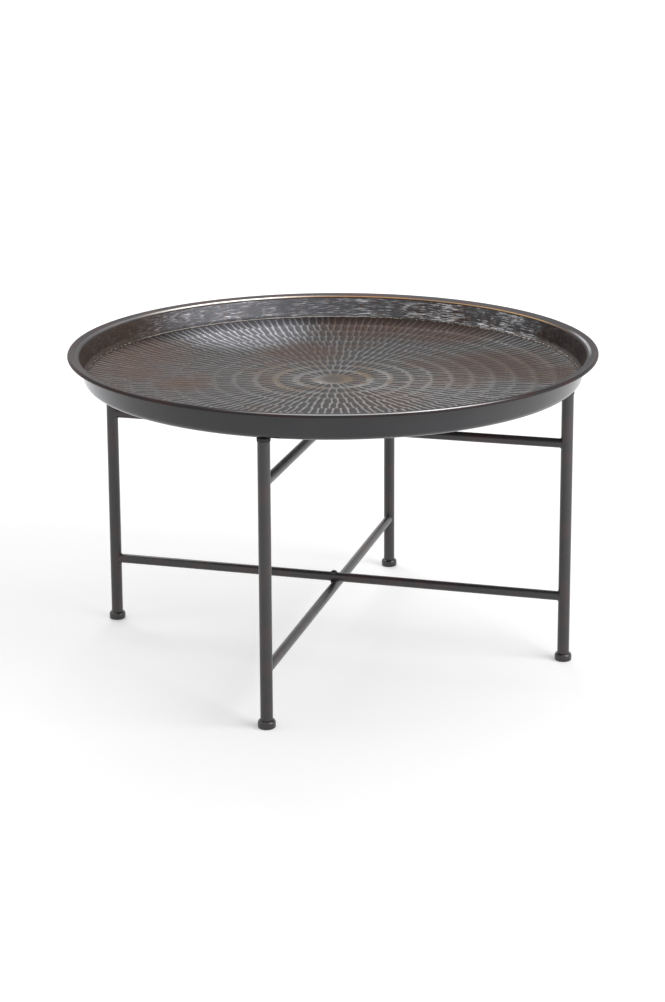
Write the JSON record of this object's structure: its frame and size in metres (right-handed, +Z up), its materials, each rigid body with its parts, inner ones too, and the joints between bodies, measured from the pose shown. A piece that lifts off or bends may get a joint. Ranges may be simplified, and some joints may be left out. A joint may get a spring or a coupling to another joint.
{
  "type": "tray table",
  "caption": "Round dished tray with a hammered floor and rolled rim, resting on padded tube legs of a crossed-frame iron base that folds about riveted pivots.",
  "frame": {"origin": "on the floor, under the centre of the tray, on the upright axis of the pivots", "axes": "+Z up; X along frame A, from its left leg to its right leg; Y along frame B, from its front leg to its back leg"},
  "size_m": [0.7619, 0.762, 0.445],
  "materials": {
    "tray_bronze": "dark brown-black patina, rubbed back to grey metal on the ridges of the hammered floor and along the rim",
    "frame_iron": "dark grey satin paint",
    "foot_iron": "black satin paint",
    "pad_rubber": "matt black",
    "pivot_iron": "dark grey satin paint, rubbed on the dome",
    "washer_black": "matt black"
  },
  "bodies": {
    "frame_a": {"leg_a_left": "frame_iron", "leg_a_right": "frame_iron", "lower_stretcher_a": "frame_iron", "upper_stretcher_a": "frame_iron", "weld_a_left_low": "frame_iron", "weld_a_left_high": "frame_iron", "weld_a_right_low": "frame_iron", "weld_a_right_high": "frame_iron", "foot_a_left": "foot_iron", "foot_a_right": "foot_iron", "pad_a_left": "pad_rubber", "pad_a_right": "pad_rubber", "lower_pivot_rivet": "pivot_iron", "lower_pivot_washer": "washer_black"},
    "frame_b": {"leg_b_front": "frame_iron", "leg_b_back": "frame_iron", "lower_stretcher_b": "frame_iron", "upper_stretcher_b": "frame_iron", "weld_b_front_low": "frame_iron", "weld_b_front_high": "frame_iron", "weld_b_back_low": "frame_iron", "weld_b_back_high": "frame_iron", "foot_b_front": "foot_iron", "foot_b_back": "foot_iron", "pad_b_front": "pad_rubber", "pad_b_back": "pad_rubber", "upper_pivot_rivet": "pivot_iron", "upper_pivot_washer": "washer_black"},
    "tray": {"tray": "tray_bronze"}
  },
  "joints": [
    {"name": "base_fold", "type": "hinge", "parent": "frame_a", "child": "frame_b", "pos_m": [0, 0, 0.21], "axis": [0, 0, 1], "range_deg": [-85, 85]},
    {"name": "tray_lift", "type": "slide", "parent": "frame_a", "child": "tray", "axis": [0, 0, 1], "range_m": [0, 0.2]}
  ]
}
